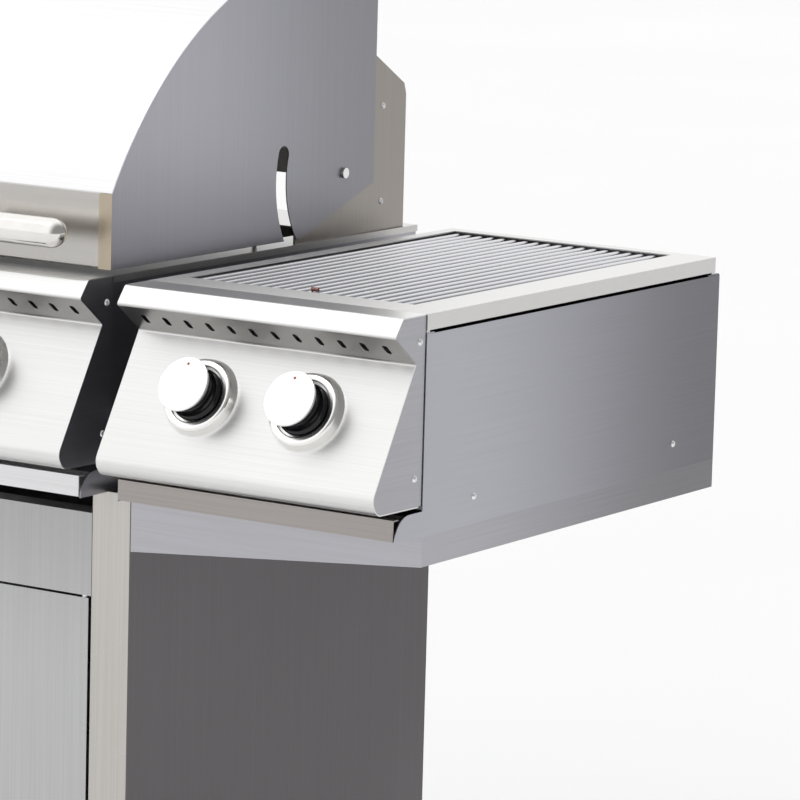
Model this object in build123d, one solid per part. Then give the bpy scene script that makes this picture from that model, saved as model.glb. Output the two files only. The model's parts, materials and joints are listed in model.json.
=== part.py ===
from build123d import *
import os
from math import atan2, cos, degrees, hypot, radians, sin, sqrt, tan

# Stainless gas grill on a wheeled cart, with a double side burner. Millimetres.
# +X is the cook's right, +Y runs away from the cook and +Z is up.
# The origin is on the floor, under the middle of the whole grill.

# ---------------------------------------------------------------- overall sizes
counter_height = 930.0  # rim of the grill head above the floor
front = -231.0  # y of the front face of the cart and of both burner boxes
head_width = 813.0
head_depth = 552.0
head_height = 219.0
cart_overhang = 27.0  # cart beyond the head, each side
cart_depth = 552.0
side_box_gap = 17.0  # cart side to the side burner box
shelf_depth = 563.0
side_box_width = 330.0
side_box_height = 216.3
sheet = 1.2
plate = 2.0
stop_gap = 0.3  # between pieces that move past each other

# ---------------------------------------------------------------- control panels
panel_nose_reach = 40.5
panel_nose_front = 54.3
panel_nose_drop = 18.1
panel_strip_reach = 16.8
panel_strip_drop = 47.2
panel_foot_reach = 86.5
panel_foot_drop = 171.0
panel_sill_reach = 77.0
panel_sill_drop = 186.0
panel_back_reach = 6.0
panel_bends = [5.0, 3.0, 2.0, 13.0, 13.0]
panel_end_setback = 1.2
vent_pitch = 25.9
vent_first = 21.0  # from the right-hand end of a panel
vent_slot = (6.0, 15.0)

# ---------------------------------------------------------------- knobs and valves
knob_drop = 101.0  # knob centre below the rim, on the face of the panel
main_burners = 4
knob_end_inset = 138.0  # outer main knobs from the ends of the panel
side_knob_inset = [229.5, 104.0]  # from the right-hand side of the side burner
knob_skirt = (27.3, 3.0)
knob_body_radius = 24.0
knob_cap = (28.4, 8.0)
knob_height = 37.5
knob_push = 5.0
knob_clear = 1.0  # left under the knob when it is pushed in
bezel_inner = 29.6
bezel_rim = 37.0
bezel_outer = 40.8
bezel_height = 10.8
stem_radius = 4.0
stem_reach = 24.0
stem_engage = 9.0  # stem inside its valve
stem_hole = 6.0
fit_gap = 0.05
valve_radius = 12.0
valve_depth = (13.0, 42.0)
rail_radius = 9.0
inlet_pipe_radius = 7.0
inlet_radius = 8.0  # free end that takes the hose
inlet_length = 10.0
inlet_reach = 10.5  # end of the inlet behind the head
rail_end = 12.0  # rail beyond the centre of the inlet pipe
pipe_lead = 14.0  # straight end of the link pipe
manifold_back = -20.0
manifold_drop = 142.0
side_pipe_radius = 5.0
nozzle_radius = 5.0
nozzle_drop = 119.0

# ---------------------------------------------------------------- grill head
rim_flange = 7.0
fire_side_margin = 44.5
fire_margin = (43.0, 110.0)  # rim in front of and behind the cooking opening
fire_depth = 188.0
ledge = 12.0
grate_drop = 12.0
grate_rod = 4.0
grate_pitch = 17.0
grate_count = 3
tent_drop = 62.0
tent_width = 120.0
tent_rise = 26.0
burner_radius = 16.0
rack_back = (150.0, 62.0)  # from the back of the cooking opening
rack_side_gap = 22.0
rack_height = 128.0
rack_rod = 3.0

# ---------------------------------------------------------------- hood
hood_gap = 5.8
hood_front = -3.2
hood_band = 81.6  # top of the upright band, above the rim
hood_arc_centre = (385.2, -134.5)
hood_arc_radius = 445.1
hood_back_margin = 89.0  # back of the hood to the back of the head
hood_back_foot = 55.0
hood_cut_length = 136.0  # slanting cut under the back of each cheek
hood_wrap = 16.0
pivot_inset = 57.7  # from the back of the hood
pivot_rise = 69.1
pivot_radius = 4.0
slot_radius = 116.0
slot_width = 19.0
slot_top_angle = 166.0
bracket_inset = 3.5
bracket_thick = 2.5
bracket_screw_inset = 20.5
bracket_screw_rise = (135.0, 31.5)
handle_radius = 15.0
handle_end_inset = 28.0
handle_out = 48.0
handle_rise = 43.0
handle_post = 9.0
handle_post_inset = 128.5  # from each end of the bar
dial_radius = 38.0
dial_rise = 180.0

# ---------------------------------------------------------------- drip trays
tray_lip_reach = 48.0
tray_lip_height = 21.0
tray_lip_top = 22.5  # lip top above the bottom of its box
tray_wall = 17.0
ear_reach = 47.0
ear_height = 25.0

# ---------------------------------------------------------------- side burner
side_frame_depth = 553.5
side_frame_drop = 15.8
side_skin_drop = 19.2
ledge_depth = 13.5  # inward edges the top frame stands on
side_margin_x = (15.0, 44.0)  # top frame beside the grate, left and right
side_margin_y = (44.0, 17.5)  # in front and behind
bowl_depth = 108.0
side_grate_rods = 19
side_grate_rod = 3.5
side_head_radius = 45.0
side_head_height = 24.0
side_head_foot = (8.0, 10.0)  # step in and height of the foot under each head
side_head_cap = (7.0, 5.0)  # step in and height of the cap on it
side_head_inset = 75.5  # burner heads left of the right-hand knob, whose feed passes beside them
side_head_y = (168.0, 414.0)
venturi_radius = 10.0

# ---------------------------------------------------------------- cart
post_width = 48.0
post_depth = 30.0
fascia_drop = 243.5
fascia_height = 85.5
door_gap = 2.5
door_side_gap = 3.8
door_middle_gap = 3.0
door_thick = 20.0
door_floor_gap = 10.0
hinge_inset = 8.0
hinge_depth = 6.0
hinge_radius = 4.0
pin_engage = 12.0  # door pin inside its door
door_handle_length = 260.0
door_handle_radius = 6.0
door_handle_out = 38.0
floor_rise = 25.0  # cart floor above the underside of the cart
rail_width = 84.0
deck_thick = 1.5
apron_step = 0.4  # front strip below the deck, where the door pins stand
tank_hole_radius = 118.0
tank_collar = 1.5
tank_rail_gap = 28.7  # left floor rail to the collar of the bottle hole
hose_hole_radius = 26.0
hose_hole_rise = 60.0  # above the underside of the cart
gusset_outer = 30.0
gusset_inner = 60.4
gusset_flange = 14.0

# ---------------------------------------------------------------- casters
wheel_radius = 45.0
wheel_width = 26.0
axle_radius = 5.0
caster_trail = 25.0
caster_inset = 46.0
caster_plate = (68.0, 92.0, 3.0)
race_radius = 24.0
fork_wheel_gap = 14.5
race_height = 10.5
fork_thick = 5.0
leg_thick = 3.0
leg_gap = 17.0
kingpin_radius = 6.0
lever_pin_radius = 2.5

# ---------------------------------------------------------------- screws
screw_radius = 3.6
screw_head = 1.8
screw_shank = 1.9

half_head = head_width / 2
knob_base = knob_push + knob_clear
half_cart = half_head + cart_overhang
floor_inner = half_cart - sheet - 0.1
tank_x = rail_width - floor_inner + tank_rail_gap + tank_collar + tank_hole_radius
shelf_width = side_box_width + side_box_gap
fork_top = 2 * wheel_radius + fork_wheel_gap
cart_clearance = fork_top + race_height
floor_height = cart_clearance + floor_rise
hose_hole = (0.0, front + cart_depth, cart_clearance + hose_hole_rise)
door_bottom = floor_height + door_floor_gap
side_right = half_cart + shelf_width
side_left = side_right - side_box_width
cart_top = counter_height - head_height
shelf_top = counter_height - side_box_height
head_wall = half_head - sheet - 0.1
lean = atan2(panel_foot_reach - panel_strip_reach, panel_foot_drop - panel_strip_drop)
knob_axis = Vector(0, -cos(lean), sin(lean))
knob_reach = panel_strip_reach + (knob_drop - panel_strip_drop) * tan(lean)
side_knob_x = [side_right - inset for inset in side_knob_inset]
knob_span = half_head - knob_end_inset
main_knob_x = [-knob_span + i * 2 * knob_span / (main_burners - 1) for i in range(main_burners)]
fire_x = half_head - fire_side_margin  # half the width of the cooking opening
fire_y = (fire_margin[0], head_depth - fire_margin[1])
rack_y = [fire_y[1] - back for back in rack_back]
hood_back = head_depth - hood_back_margin
hood_cut_y = hood_back - hood_cut_length
pivot = (hood_back - pivot_inset, pivot_rise)
bracket_screw_at = [(hood_back + bracket_screw_inset, rise) for rise in bracket_screw_rise]
handle_half = half_head - handle_end_inset
handle_post_x = handle_half - handle_post_inset


def block(x, y, z):
    """A box between two limits on each axis."""
    size = [b - a for a, b in (x, y, z)]
    middle = [(a + b) / 2 for a, b in (x, y, z)]
    return Pos(*middle) * Box(*size)


def rod(start, direction, radius, length):
    """A round bar from a point, along a direction."""
    base = Plane(origin=start, z_dir=direction)
    return base * Cylinder(radius, length, align=(Align.CENTER, Align.CENTER, Align.MIN))


def across(outline, x0, x1):
    """A closed outline in y and z, carried from x0 to x1."""
    face = make_face(Polyline(*outline, close=True)) if isinstance(outline, list) else outline
    return extrude(Plane.YZ.offset(x0) * face, amount=x1 - x0)


def beside(points, distance):
    """The same bends as a path, moved to its left by a distance."""
    moved = []
    for i, (px, py) in enumerate(points):
        legs = []
        if i > 0:
            legs.append((px - points[i - 1][0], py - points[i - 1][1]))
        if i < len(points) - 1:
            legs.append((points[i + 1][0] - px, points[i + 1][1] - py))
        normals = [(-dy / hypot(dx, dy), dx / hypot(dx, dy)) for dx, dy in legs]
        nx = sum(n[0] for n in normals) / len(normals)
        ny = sum(n[1] for n in normals) / len(normals)
        reach = distance / (nx * nx + ny * ny)
        moved.append((px + nx * reach, py + ny * reach))
    return moved


def bend_radii(points, radii, distance):
    """The radius of each bend after the path is moved to its left."""
    result = []
    for i, radius in enumerate(radii):
        (ax, ay), (bx, by), (cx, cy) = points[i : i + 3]
        turn = (bx - ax) * (cy - by) - (by - ay) * (cx - bx)
        result.append(max(0.0, radius - distance if turn > 0 else radius + distance))
    return result


def bent_sheet(points, radii, thickness):
    """The section of a bent sheet: a path and the same path beside it."""
    other = beside(points, thickness)
    outside = FilletPolyline(*points, radius=radii)
    inside = FilletPolyline(*other, radius=bend_radii(points, radii, thickness))
    ends = [Line(points[0], other[0]), Line(points[-1], other[-1])]
    return make_face(outside.edges() + inside.edges() + ends)


def mirrored(shape):
    return mirror(shape, about=Plane.YZ)


def write(node, *pieces):
    """Writes the solids of one node."""
    solids = [solid for piece in pieces for solid in piece.solids()]
    export_step(Compound(children=solids), f"parts/{node}.step")


def height(drop):
    return counter_height - drop


def row(y, drop):
    """A point given from the front face and down from the rim."""
    return (front + y, counter_height - drop)


# The control panels share one section: flat top, nose, slanting vent strip,
# leaning face, rounded foot and sill.
panel_path = [
    row(0, 0),
    row(-panel_nose_reach, 0),
    row(-panel_nose_front, panel_nose_drop),
    row(-panel_strip_reach, panel_strip_drop),
    row(-panel_foot_reach, panel_foot_drop),
    row(-panel_sill_reach, panel_sill_drop),
    row(-panel_back_reach, panel_sill_drop + 1),
]


def face_point(x, rise):
    """A point on a knob axis, measured out from the face of the panel."""
    start = Vector(x, front - knob_reach, height(knob_drop))
    return start + knob_axis * rise


def control_panel(x0, x1, knobs, extra_holes=()):
    """A bent panel with its vent slots and the holes for its stems."""
    shape = across(bent_sheet(panel_path, panel_bends, sheet), x0, x1)
    tools = [rod(face_point(x, -10), knob_axis, stem_hole, 20) for x in knobs]
    middle = Vector(
        0,
        front - (panel_nose_front + panel_strip_reach) / 2,
        height((panel_nose_drop + panel_strip_drop) / 2),
    )
    fall = Vector(
        0,
        panel_nose_front - panel_strip_reach,
        panel_nose_drop - panel_strip_drop,
    ).normalized()
    count = int((x1 - x0 - 2 * vent_first) / vent_pitch) + 1
    for i in range(count):
        centre = middle + Vector(x1 - vent_first - i * vent_pitch, 0, 0)
        flat = Plane(origin=centre, x_dir=(1, 0, 0), z_dir=fall.cross(Vector(1, 0, 0)))
        slot = SlotOverall(vent_slot[1], vent_slot[0], rotation=90)
        tools.append(extrude(flat * slot, amount=5, both=True))
    return shape - [*tools, *extra_holes]


def end_cap(x0, x1):
    """A flat plate that closes one end of a control panel, inside its bends."""
    inner = beside(panel_path, sheet + 0.1)
    inner[0] = (front - panel_end_setback, inner[0][1])
    inner[-1] = (front - panel_end_setback, inner[-1][1])
    radii = bend_radii(panel_path, panel_bends, sheet + 0.1)
    edge = FilletPolyline(*inner, radius=radii)
    return across(make_face(edge.edges() + Line(inner[0], inner[-1])), x0, x1)


def screw(x, y, drop, side):
    """A dome-headed screw in an upright plate; side is its outward x direction."""
    seat = (x, front + y, height(drop))
    head = rod(seat, (side, 0, 0), screw_radius, screw_head)
    edge = head.edges().sort_by(Axis.X)[-1 if side > 0 else 0]
    head = fillet(edge, screw_head * 0.8)
    return head + rod(seat, (-side, 0, 0), screw_shank, 3.0)


def screw_hole(x, y, drop):
    return rod((x - 5, front + y, height(drop)), (1, 0, 0), screw_shank + 0.1, 10)


# Screw places: one pair on each panel end, two low on the side burner's box and
# two on each hood bracket.
cap_screws = [(-10.0, 26.0), (-13.7, 158.0)]
box_screws = [(91.6, 189.5), (477.3, 189.0)]


def ear_outline(bottom):
    """Rounded ear that guards the end of a tray lip, ahead of the front face."""
    radius = ear_height - 1
    corner = CenterArc((front - ear_reach + radius, bottom + ear_height - radius), radius, 90, 90)
    low_left = (front - ear_reach, bottom)
    low_right = (front + 5, bottom)
    top_right = (front + 5, bottom + ear_height)
    rest = Polyline(corner @ 1, low_left, low_right, top_right, corner @ 0)
    return make_face([corner, *rest.edges()])


def burner_box(x0, x1, depth, top, bottom, wall, flange):
    """Four upright walls with ears, tray slot in front and inward feet."""
    low = counter_height - bottom
    high = counter_height - top
    walls = block((x0, x1), (front, front + depth), (low, high))
    inside = block(
        (x0 + wall, x1 - wall), (front + wall, front + depth - wall), (low - 1, high + 1)
    )
    slot = block(
        (x0 + wall, x1 - wall), (front - 1, front + wall + 1), (low - 1, low + tray_lip_top + 4)
    )
    shape = walls - inside - slot
    for a, b in ((x0, x0 + wall), (x1 - wall, x1)):
        shape += across(ear_outline(low), a, b)
    for a, b in ((x0 + 0.5, x0 + wall + flange), (x1 - wall - flange, x1 - 0.5)):
        shape += block((a, b), (front + 0.5, front + depth - 0.5), (low, low + wall))
    return shape


def drip_tray(x0, x1, bottom, depth):
    """A shallow tray with a tall front lip that folds back along its foot."""
    low = counter_height - bottom + sheet + stop_gap
    body = block((x0, x1), (front - 6, front + depth), (low, low + tray_wall))
    body -= block(
        (x0 + sheet, x1 - sheet),
        (front - 6 + sheet, front + depth - sheet),
        (low + sheet, low + tray_wall + 1),
    )
    shelf = block((x0, x1), (front - tray_lip_reach, front - 5), (low, low + sheet))
    lip = block(
        (x0, x1),
        (front - tray_lip_reach, front - tray_lip_reach + sheet),
        (low, low + tray_lip_height),
    )
    roll = block(
        (x0, x1),
        (front - tray_lip_reach, front - tray_lip_reach + 9),
        (low + tray_lip_height - sheet, low + tray_lip_height),
    )
    return body + shelf + lip + roll


def bars(xs, y, z, radius):
    """Round bars that run from front to back."""
    shape = Part()
    for x in xs:
        shape += rod((x, y[0], z), (0, 1, 0), radius, y[1] - y[0])
    return shape


def bar_across(x, y, z, radius):
    return rod((x[0], y, z), (1, 0, 0), radius, x[1] - x[0])


def spread(first, last, count):
    step = (last - first) / (count - 1)
    return [first + i * step for i in range(count)]


os.makedirs("parts", exist_ok=True)

# ---------------------------------------------------------------- cart
side_sheet = block(
    (half_cart - sheet, half_cart), (front, front + cart_depth), (cart_clearance, cart_top)
)
side_sheet += block(
    (half_cart - 26, half_cart - 0.2),
    (front + post_depth + 1, front + cart_depth - 2),
    (cart_top - sheet, cart_top),
)
write("cart_side_panels", side_sheet, mirrored(side_sheet))

back_inner = half_cart - sheet - 0.1
back = block(
    (-back_inner, back_inner),
    (front + cart_depth - sheet, front + cart_depth),
    (cart_clearance, cart_top - 0.1),
)
for i in range(6):
    z = cart_top - 70 - i * 22
    for side in (-1, 1):
        slot = SlotOverall(150, 8)
        flat = Plane(origin=(side * 200, front + cart_depth, z), x_dir=(1, 0, 0), z_dir=(0, -1, 0))
        back -= extrude(flat * slot, amount=5, both=True)
back -= rod((hose_hole[0], hose_hole[1] - 5, hose_hole[2]), (0, 1, 0), hose_hole_radius, 10)
write("cart_back_panel", back)

post_inner = half_cart - post_width
post_outer = half_cart - sheet - 0.1
post = block((post_inner, post_outer), (front, front + post_depth), (cart_clearance, cart_top))
post -= block(
    (post_inner + 1.5, post_outer - 1.5),
    (front + 1.5, front + post_depth - 1.5),
    (cart_clearance - 1, cart_top + 1),
)
write("cart_posts", post, mirrored(post))

fascia_top = height(fascia_drop)
fascia_foot = fascia_top - fascia_height
fascia_half = post_inner - 0.6
fascia = block((-fascia_half, fascia_half), (front, front + sheet), (fascia_foot, fascia_top))
for z in (fascia_foot, fascia_top - sheet):
    fascia += block((-fascia_half, fascia_half), (front, front + 28), (z, z + sheet))
for side in (-1, 1):
    x = side * (fascia_half - 1)
    fascia += block((x - 1, x + 1), (front + 0.5, front + 28), (fascia_foot, fascia_top))

floor_y = (front + post_depth + 0.2, front + cart_depth - sheet - 0.1)
deck = block((-floor_inner, floor_inner), floor_y, (floor_height, floor_height + deck_thick))
apron_top = floor_height + deck_thick - apron_step
apron_half = post_inner - 0.2
lip = block((-apron_half, apron_half), (front, floor_y[0]), (floor_height, apron_top))
lip += block((-apron_half, apron_half), (front, front + deck_thick), (cart_clearance, apron_top))
rails = []
for side in (-1, 1):
    outer = side * (floor_inner - 0.2)
    inner = side * (floor_inner - rail_width)
    x = (min(outer, inner), max(outer, inner))
    rail = block(x, (floor_y[0], floor_y[1] - 0.2), (cart_clearance, floor_height))
    rail -= block(
        (x[0] + plate, x[1] - plate),
        (floor_y[0] - 1, floor_y[1] + 1),
        (cart_clearance + plate, floor_height + 1),
    )
    rails.append(rail)
tank_y = front + cart_depth / 2
collar = rod((tank_x, tank_y, floor_height - 12), (0, 0, 1), tank_hole_radius + tank_collar, 13)
deck += collar
deck -= rod((tank_x, tank_y, floor_height - 20), (0, 0, 1), tank_hole_radius, 40)

# ---------------------------------------------------------------- doors
door_top = fascia_foot - door_gap
door_outer = post_inner - door_side_gap
pin_x = door_outer - hinge_inset
pin_y = front + hinge_depth
pins = []
for side in (-1, 1):
    x = side * pin_x
    low = door_top - pin_engage
    top_pin = rod((x, pin_y, low), (0, 0, 1), hinge_radius, fascia_foot + sheet - low)
    top_pin += rod((x, pin_y + 1, fascia_foot + sheet), (0, 0, 1), hinge_radius - 0.5, 3)
    low_pin = rod(
        (x, pin_y, apron_top), (0, 0, 1), hinge_radius, door_bottom + pin_engage - apron_top
    )
    pins += [top_pin, low_pin]
    fascia -= rod((side * pin_x, pin_y, fascia_foot - 1), (0, 0, 1), hinge_radius + fit_gap, 4)
write("cart_fascia", fascia)
write("cart_floor", deck, lip, *rails)

door = block((door_middle_gap / 2, door_outer), (front, front + door_thick), (door_bottom, door_top))
door -= block(
    (door_middle_gap / 2 + sheet, door_outer - sheet),
    (front + sheet, front + door_thick - sheet),
    (door_bottom + sheet, door_top - sheet),
)
door -= block(
    (door_middle_gap / 2 + 18, door_outer - 18),
    (front + door_thick - 3, front + door_thick + 1),
    (door_bottom + 18, door_top - 18),
)
for z in (door_bottom, door_top - 15):
    door += block(
        (pin_x - 7, door_outer - 0.2), (front + 0.2, front + door_thick - 0.2), (z, z + 15)
    )
    door -= rod((pin_x, pin_y, z - 1), (0, 0, 1), hinge_radius + fit_gap, 17)
handle_x = door_middle_gap / 2 + 42
handle_top = door_top - 50
grip = rod(
    (handle_x, front - door_handle_out, handle_top - door_handle_length), (0, 0, 1),
    door_handle_radius, door_handle_length,
)
grip = fillet(grip.edges(), door_handle_radius * 0.6)
for z in (handle_top - 25, handle_top - door_handle_length + 25):
    grip += rod((handle_x, front, z), (0, -1, 0), door_handle_radius - 1, door_handle_out)
    door -= rod((handle_x, front - 1, z), (0, 1, 0), 2.6, 4)
    grip += rod((handle_x, front, z), (0, 1, 0), 2.5, sheet + 2)
write("door_right", door)
write("door_left", mirrored(door))
write("door_handle_right", grip)
write("door_handle_left", mirrored(grip))

# ---------------------------------------------------------------- side shelves
gusset_low = shelf_top - gusset_inner
gusset_edge = shelf_top - gusset_outer
gusset = Polyline(
    (half_cart, shelf_top), (side_right, shelf_top), (side_right, gusset_edge), (half_cart, gusset_low),
    close=True,
)
gusset_face = make_face(gusset)


def upright(face, y, thick):
    """A face drawn in x and z, made a plate that starts at y."""
    return extrude(Plane(origin=(0, y, 0), x_dir=(1, 0, 0), z_dir=(0, -1, 0)) * face, amount=-thick)


frame = upright(gusset_face, front, plate)
frame += upright(gusset_face, front + shelf_depth - plate, plate)
frame += block(
    (side_right - plate, side_right), (front, front + shelf_depth), (gusset_edge, shelf_top)
)
frame += block((half_cart, half_cart + plate), (front, front + shelf_depth), (gusset_low, shelf_top))
frame += block(
    (side_right - gusset_flange, side_right - 0.5),
    (front + 0.5, front + shelf_depth - 0.5),
    (gusset_edge, gusset_edge + plate),
)
for y in (front + 180, front + 380):
    frame += block((half_cart + 0.5, side_right - 0.5), (y, y + plate), (shelf_top - 28, shelf_top - sheet))
write("shelf_frames", frame, mirrored(frame))
shelf = block(
    (-side_right, -half_cart), (front, front + shelf_depth), (shelf_top, shelf_top + sheet)
)
write("left_shelf_top", shelf)

# ---------------------------------------------------------------- grill head box
head_box = burner_box(
    -head_wall, head_wall, head_depth - sheet - 0.1, sheet + 0.3, head_height, sheet, 14.0
)
inlet_x = -head_wall + 19.2
link_x = head_wall - 15.2
link_y = 24.0
side_link_x = side_left + 12
manifold_z = height(manifold_drop)
for x in main_knob_x:
    head_box -= rod((x, front - 5, height(nozzle_drop)), (0, 1, 0), burner_radius + 3, 12)
for x, y in ((inlet_x, front), (inlet_x, front + head_depth)):
    head_box -= rod((x, y - 5, manifold_z), (0, 1, 0), inlet_radius + 2, 10)
head_box -= rod((link_x, front - 5, manifold_z), (0, 1, 0), side_pipe_radius + 3, 10)
head_box -= rod((head_wall - 5, front + link_y, manifold_z), (1, 0, 0), side_pipe_radius + 3, 10)
write("grill_head_box", head_box)

rim = block(
    (-half_head, half_head), (front + 0.2, front + head_depth), (height(rim_flange), counter_height)
)
rim -= block(
    (-head_wall - 0.1, head_wall + 0.1),
    (front - 1, front + head_depth - sheet),
    (height(rim_flange) - 1, height(sheet)),
)
rim -= block((-fire_x, fire_x), (front + fire_y[0], front + fire_y[1]), (height(5), counter_height + 1))
write("head_rim", rim)

# The fire tub hangs under the rim by its flange and holds ledges for the
# grates and the heat tents.
tub_wall = 1.5
tub_flange = 18.0
tub_top = height(sheet + 0.1)
tub_low = height(fire_depth)
tub_x = fire_x + 2
tub_y = (front + fire_y[0] - 2, front + fire_y[1] + 2)
tub = block(
    (-tub_x - tub_wall, tub_x + tub_wall),
    (tub_y[0] - tub_wall, tub_y[1] + tub_wall),
    (tub_low, tub_top),
)
tub += block(
    (-tub_x - tub_flange, tub_x + tub_flange),
    (tub_y[0] - tub_flange, tub_y[1] + tub_flange),
    (tub_top - tub_wall, tub_top),
)
tub -= block((-tub_x, tub_x), tub_y, (tub_low - 1, tub_top + 1))
for z in (height(grate_drop) - 2 * grate_rod, height(tent_drop)):
    for y in (tub_y[0] - 0.5, tub_y[1] - ledge + 0.5):
        tub += block((-tub_x - 0.5, tub_x + 0.5), (y, y + ledge), (z - tub_wall, z))
for x in main_knob_x:
    tub -= rod((x, tub_y[0] - 5, height(nozzle_drop)), (0, 1, 0), burner_radius + 0.1, 8)
write("fire_tub", tub)

tents = []
tent_length = (tub_y[0] + 1, tub_y[1] - 1)
for x in main_knob_x:
    foot = height(tent_drop)
    ridge = [
        (x - tent_width / 2, foot),
        (x, foot + tent_rise),
        (x + tent_width / 2, foot),
    ]
    ridge += [(x + tent_width / 2 - 3, foot), (x, foot + tent_rise - 1.6), (x - tent_width / 2 + 3, foot)]
    face = make_face(Polyline(*ridge, close=True))
    tents.append(upright(face, tent_length[0], tent_length[1] - tent_length[0]))
write("heat_tents", *tents)

tubes = []
for x in main_knob_x:
    z = height(nozzle_drop)
    start = front + 9
    tube = rod((x, start, z), (0, 1, 0), burner_radius, tub_y[1] - start)
    tube -= rod((x, start - 1, z), (0, 1, 0), burner_radius - 1.5, tub_y[1] - start - 5)
    tube -= block((x - 30, x + 30), (start + 6, start + 22), (z - 6, z + 6))
    tubes.append(tube)
write("tube_burners", *tubes)

grates = []
grate_half = (fire_x - 1.5) / grate_count
bar_z = height(grate_drop) - grate_rod
low_z = bar_z - 2 * grate_rod + 0.5
for i in range(grate_count):
    centre = (i - (grate_count - 1) / 2) * 2 * (grate_half + 0.5)
    reach = grate_half - grate_rod - 1
    count = int(2 * reach / grate_pitch) + 1
    ends = (tub_y[0] + 1.5, tub_y[1] - 1.5)
    one = bars(spread(centre - reach, centre + reach, count), ends, bar_z, grate_rod)
    for y in (ends[0] + ledge + 6, (ends[0] + ends[1]) / 2, ends[1] - ledge - 6):
        ends_x = (centre - reach - grate_rod, centre + reach + grate_rod)
        one += bar_across(ends_x, y, low_z, grate_rod)
    grates.append(one)
write("cooking_grates", *grates)

rack_x = fire_x - rack_side_gap
rack_foot_x = fire_x + 10
rack = Part()
for i, y in enumerate(spread(front + rack_y[0], front + rack_y[1], 7)):
    reach = rack_foot_x + rack_rod + 2 if i in (0, 6) else rack_x
    rack += bar_across((-reach, reach), y, height(-rack_height), rack_rod)
for x in spread(-rack_x + 8, rack_x - 8, 5):
    rack += rod(
        (x, front + rack_y[0] - 4, height(-rack_height) - rack_rod), (0, 1, 0), rack_rod - 0.5,
        rack_y[1] - rack_y[0] + 8,
    )
for x in (-rack_foot_x, rack_foot_x):
    for y in rack_y:
        rack += rod((x, front + y, counter_height), (0, 0, 1), rack_rod - 0.5, rack_height)
write("warming_rack", rack)

# ---------------------------------------------------------------- hinge brackets
bracket_outer = half_head - bracket_inset
bracket_outline = [
    (-141, 0), (-141, 12), (-91, 120), (-23, 191), (4, 191), (61, 157), (65, 145), (65, 0),
]
bracket = across(
    [row(hood_back + y, -rise) for y, rise in bracket_outline],
    bracket_outer - bracket_thick, bracket_outer,
)
pivot_y = front + pivot[0]
pivot_z = height(-pivot[1])
bracket -= rod((bracket_outer - 10, pivot_y, pivot_z), (1, 0, 0), pivot_radius + fit_gap, 20)
for y, rise in bracket_screw_at:
    bracket -= screw_hole(bracket_outer, y, -rise)
write("hood_brackets", bracket, mirrored(bracket))

side_in = half_head - sheet
bracket_in = bracket_outer - bracket_thick
bolt = Part()
for start, end, radius in (
    (bracket_in - 5, half_head + 1, pivot_radius),
    (half_head + stop_gap, half_head + stop_gap + 3, pivot_radius + 1.6),
    (bracket_outer + 0.02, side_in - stop_gap + 0.02, pivot_radius + 2),
    (bracket_in - 4.02, bracket_in - 0.02, pivot_radius + 3),
):
    bolt += rod((start, pivot_y, pivot_z), (1, 0, 0), radius, end - start)
write("hinge_pins", *pins, bolt, mirrored(bolt))

# ---------------------------------------------------------------- hood


def hood_face(inset, y_back, foot):
    """The side outline of the hood, drawn smaller by an inset."""
    centre = (front + hood_arc_centre[0], counter_height + hood_arc_centre[1])
    radius = hood_arc_radius - inset
    y0 = front + hood_front + inset
    y1 = front + y_back - inset
    z0 = centre[1] + sqrt(radius**2 - (y0 - centre[0]) ** 2)
    z1 = centre[1] + sqrt(radius**2 - (y1 - centre[0]) ** 2)
    start = degrees(atan2(z1 - centre[1], y1 - centre[0]))
    end = degrees(atan2(z0 - centre[1], y0 - centre[0]))
    arc = CenterArc(centre, radius, start, end - start)
    rest = Polyline(arc @ 1, (y0, foot), (y1, foot), arc @ 0)
    return make_face([arc, *rest.edges()])


hood_low = counter_height + hood_gap
shell_half = side_in - 0.1
shell_inset = sheet + 0.1
shell = across(hood_face(shell_inset - sheet, hood_back, hood_low), -shell_half, shell_half)
shell -= across(hood_face(shell_inset, hood_back, hood_low - 5), -shell_half - 1, shell_half + 1)
shell -= block(
    (-shell_half - 1, shell_half + 1),
    (front + hood_back - 10, front + hood_back + 1),
    (hood_low - 5, height(-hood_back_foot)),
)
back_half = bracket_outer - bracket_thick - 1
for side in (-1, 1):
    x = (side * back_half, side * (shell_half + 1))
    shell -= block(
        (min(x), max(x)),
        (front + hood_back - 2.5, front + hood_back + 1),
        (hood_low - 5, height(-212)),
    )
lip_y = (front + hood_front + shell_inset - sheet, front + hood_front + 14)
shell += block((-shell_half, shell_half), lip_y, (hood_low, hood_low + sheet))

cheek = across(hood_face(0, hood_back, hood_low), side_in, half_head)
cut = [row(hood_cut_y, -hood_gap + 2), row(hood_cut_y, -hood_gap), row(hood_back + 2, -hood_back_foot),
       row(hood_back + 2, -hood_gap + 2)]
cheek -= across(cut, side_in - 1, half_head + 1)
ring = rod((side_in - 1, pivot_y, pivot_z), (1, 0, 0), slot_radius + slot_width / 2, 4)
ring -= rod((side_in - 2, pivot_y, pivot_z), (1, 0, 0), slot_radius - slot_width / 2, 6)
top_angle = radians(slot_top_angle)
keep = [
    (0.0, 0.0),
    (300 * cos(top_angle), 300 * sin(top_angle)),
    (-300.0, -300.0),
    (0.0, -300.0),
]
wedge = across([(pivot_y + y, pivot_z + z) for y, z in keep], side_in - 1, half_head + 1)
cheek -= ring & wedge
slot_end = (
    pivot_y + slot_radius * cos(top_angle),
    pivot_z + slot_radius * sin(top_angle),
)
cheek -= rod((side_in - 1, *slot_end), (1, 0, 0), slot_width / 2, 4)
cheek -= rod((side_in - 1, pivot_y, pivot_z), (1, 0, 0), pivot_radius + fit_gap, 4)
cheek += block(
    (half_head - hood_wrap, half_head),
    (front + hood_front - sheet, front + hood_front),
    (hood_low, height(-hood_band)),
)
write("hood_side_right", cheek)
write("hood_side_left", mirrored(cheek))

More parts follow.
